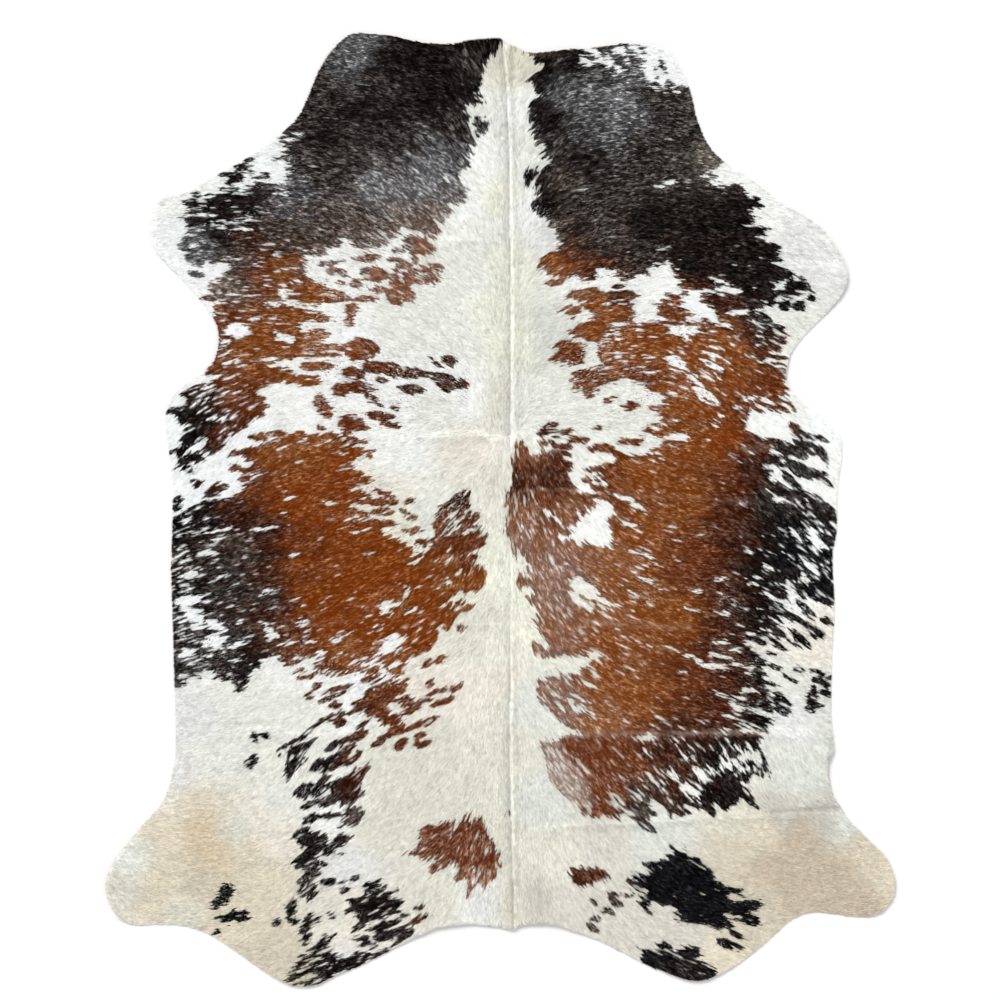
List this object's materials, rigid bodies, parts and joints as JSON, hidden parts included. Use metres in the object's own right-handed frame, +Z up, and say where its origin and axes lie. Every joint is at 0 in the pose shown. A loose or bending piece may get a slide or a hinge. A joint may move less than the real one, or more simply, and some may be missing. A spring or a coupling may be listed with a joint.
{
  "type": "cowhide rug",
  "caption": "Whole natural cowhide rug lying flat, hair side up, with its spine ridge, shank lobes, fold marks and gently lifted edges.",
  "frame": {"origin": "middle of the bounding box, on the floor under the hide", "axes": "+X across the hide, to the right as seen from above with the neck up; +Y towards the neck; +Z up"},
  "size_m": [1.8226, 2.2003, 0.0186],
  "materials": {
    "hair_on_hide": "short lying hair in white, black and red-brown patches over pale suede leather"
  },
  "bodies": {
    "root": {"hide": "hair_on_hide"}
  },
  "joints": []
}
